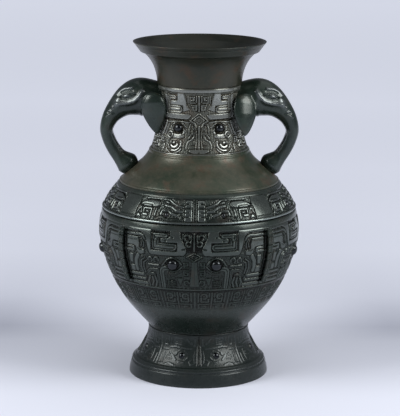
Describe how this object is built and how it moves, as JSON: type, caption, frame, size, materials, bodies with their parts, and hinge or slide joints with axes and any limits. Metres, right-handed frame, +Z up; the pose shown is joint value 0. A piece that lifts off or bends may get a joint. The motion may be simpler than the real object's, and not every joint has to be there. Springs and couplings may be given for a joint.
{
  "type": "bronze zun",
  "caption": "Archaistic bronze vase with flared mouth, elephant-head loop handles, round ribbed belly with mask bands and a spreading foot.",
  "frame": {"origin": "centre of the foot ring on the surface that the vase stands on", "axes": "+Z up along the vessel's axis, the handles on +X and -X, the front mask towards -Y"},
  "size_m": [0.2382, 0.2382, 0.4],
  "materials": {
    "plain_bronze": "dark olive-brown patina, satin",
    "relief_bronze": "dark patina with rubbed grey relief",
    "handle_bronze": "near-black polished patina",
    "inner_bronze": "dull dark bronze, unpolished"
  },
  "bodies": {
    "root": {"foot": "relief_bronze", "base_plate": "inner_bronze", "lower_belly": "relief_bronze", "belly": "relief_bronze", "shoulder_band": "relief_bronze", "shoulder": "plain_bronze", "neck": "relief_bronze", "mouth_rim": "plain_bronze", "flange_1": "relief_bronze", "flange_2": "relief_bronze", "flange_3": "relief_bronze", "flange_4": "relief_bronze", "handle_left": "handle_bronze", "handle_right": "handle_bronze", "pin_left_upper": "inner_bronze", "pin_left_lower": "inner_bronze", "pin_left_tip": "inner_bronze", "pin_right_upper": "inner_bronze", "pin_right_lower": "inner_bronze", "pin_right_tip": "inner_bronze"}
  },
  "joints": []
}
